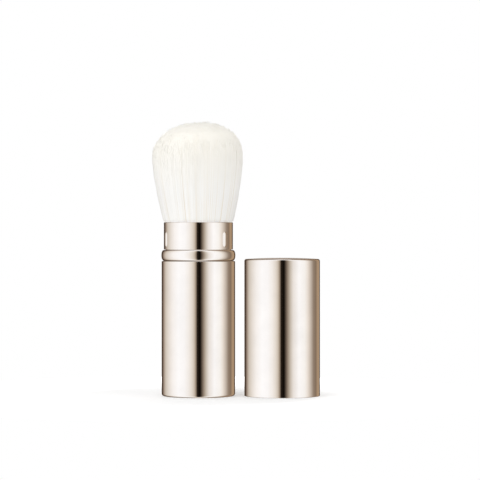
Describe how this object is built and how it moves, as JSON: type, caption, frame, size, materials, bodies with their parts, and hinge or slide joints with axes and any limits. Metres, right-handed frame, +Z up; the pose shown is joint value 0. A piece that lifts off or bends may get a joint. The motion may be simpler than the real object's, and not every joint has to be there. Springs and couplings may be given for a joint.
{
  "type": "retractable makeup brush",
  "caption": "Pocket powder brush with a domed head of pale hair, a metal guard sleeve that slides up over the hair, and a pull-off cap standing beside it.",
  "frame": {"origin": "centre of the barrel's flat underside, on the brush's axis", "axes": "+Z up along the brush, towards the hair; +X towards the cap, which stands beside the brush; -Y to the front"},
  "size_m": [0.0631, 0.0336, 0.1041],
  "materials": {
    "champagne_metal": "polished, champagne anodised",
    "sleeve_metal": "satin, champagne anodised",
    "plain_aluminium": "satin",
    "steel": "zinc plated",
    "guide_plastic": "moulded, natural white",
    "liner_plastic": "moulded, warm grey",
    "rubber": "matt",
    "hair": "soft off-white hair"
  },
  "bodies": {
    "handle": {"barrel_shell": "champagne_metal", "base_weight": "steel", "barrel_liner": "liner_plastic", "core_post": "guide_plastic", "post_screw": "steel", "ferrule": "plain_aluminium", "guide_bush": "guide_plastic", "bead_ring": "champagne_metal", "bristles_front_right": "hair", "bristles_front_left": "hair", "bristles_back_left": "hair", "bristles_back_right": "hair"},
    "sleeve": {"sleeve_tube": "sleeve_metal", "collar_shell": "champagne_metal", "slider_ring": "guide_plastic", "drag_ring": "rubber"},
    "cap": {"cap_shell": "champagne_metal", "cap_liner": "liner_plastic"}
  },
  "joints": [
    {"name": "sleeve_slide", "type": "slide", "parent": "handle", "child": "sleeve", "axis": [0, 0, 1], "range_m": [0, 0.0383], "deforming": ["bristles_front_right", "bristles_front_left", "bristles_back_left", "bristles_back_right"]},
    {"name": "cap_lift", "type": "slide", "parent": "handle", "child": "cap", "axis": [0, 0, 1], "range_m": [0, 0.108]}
  ]
}
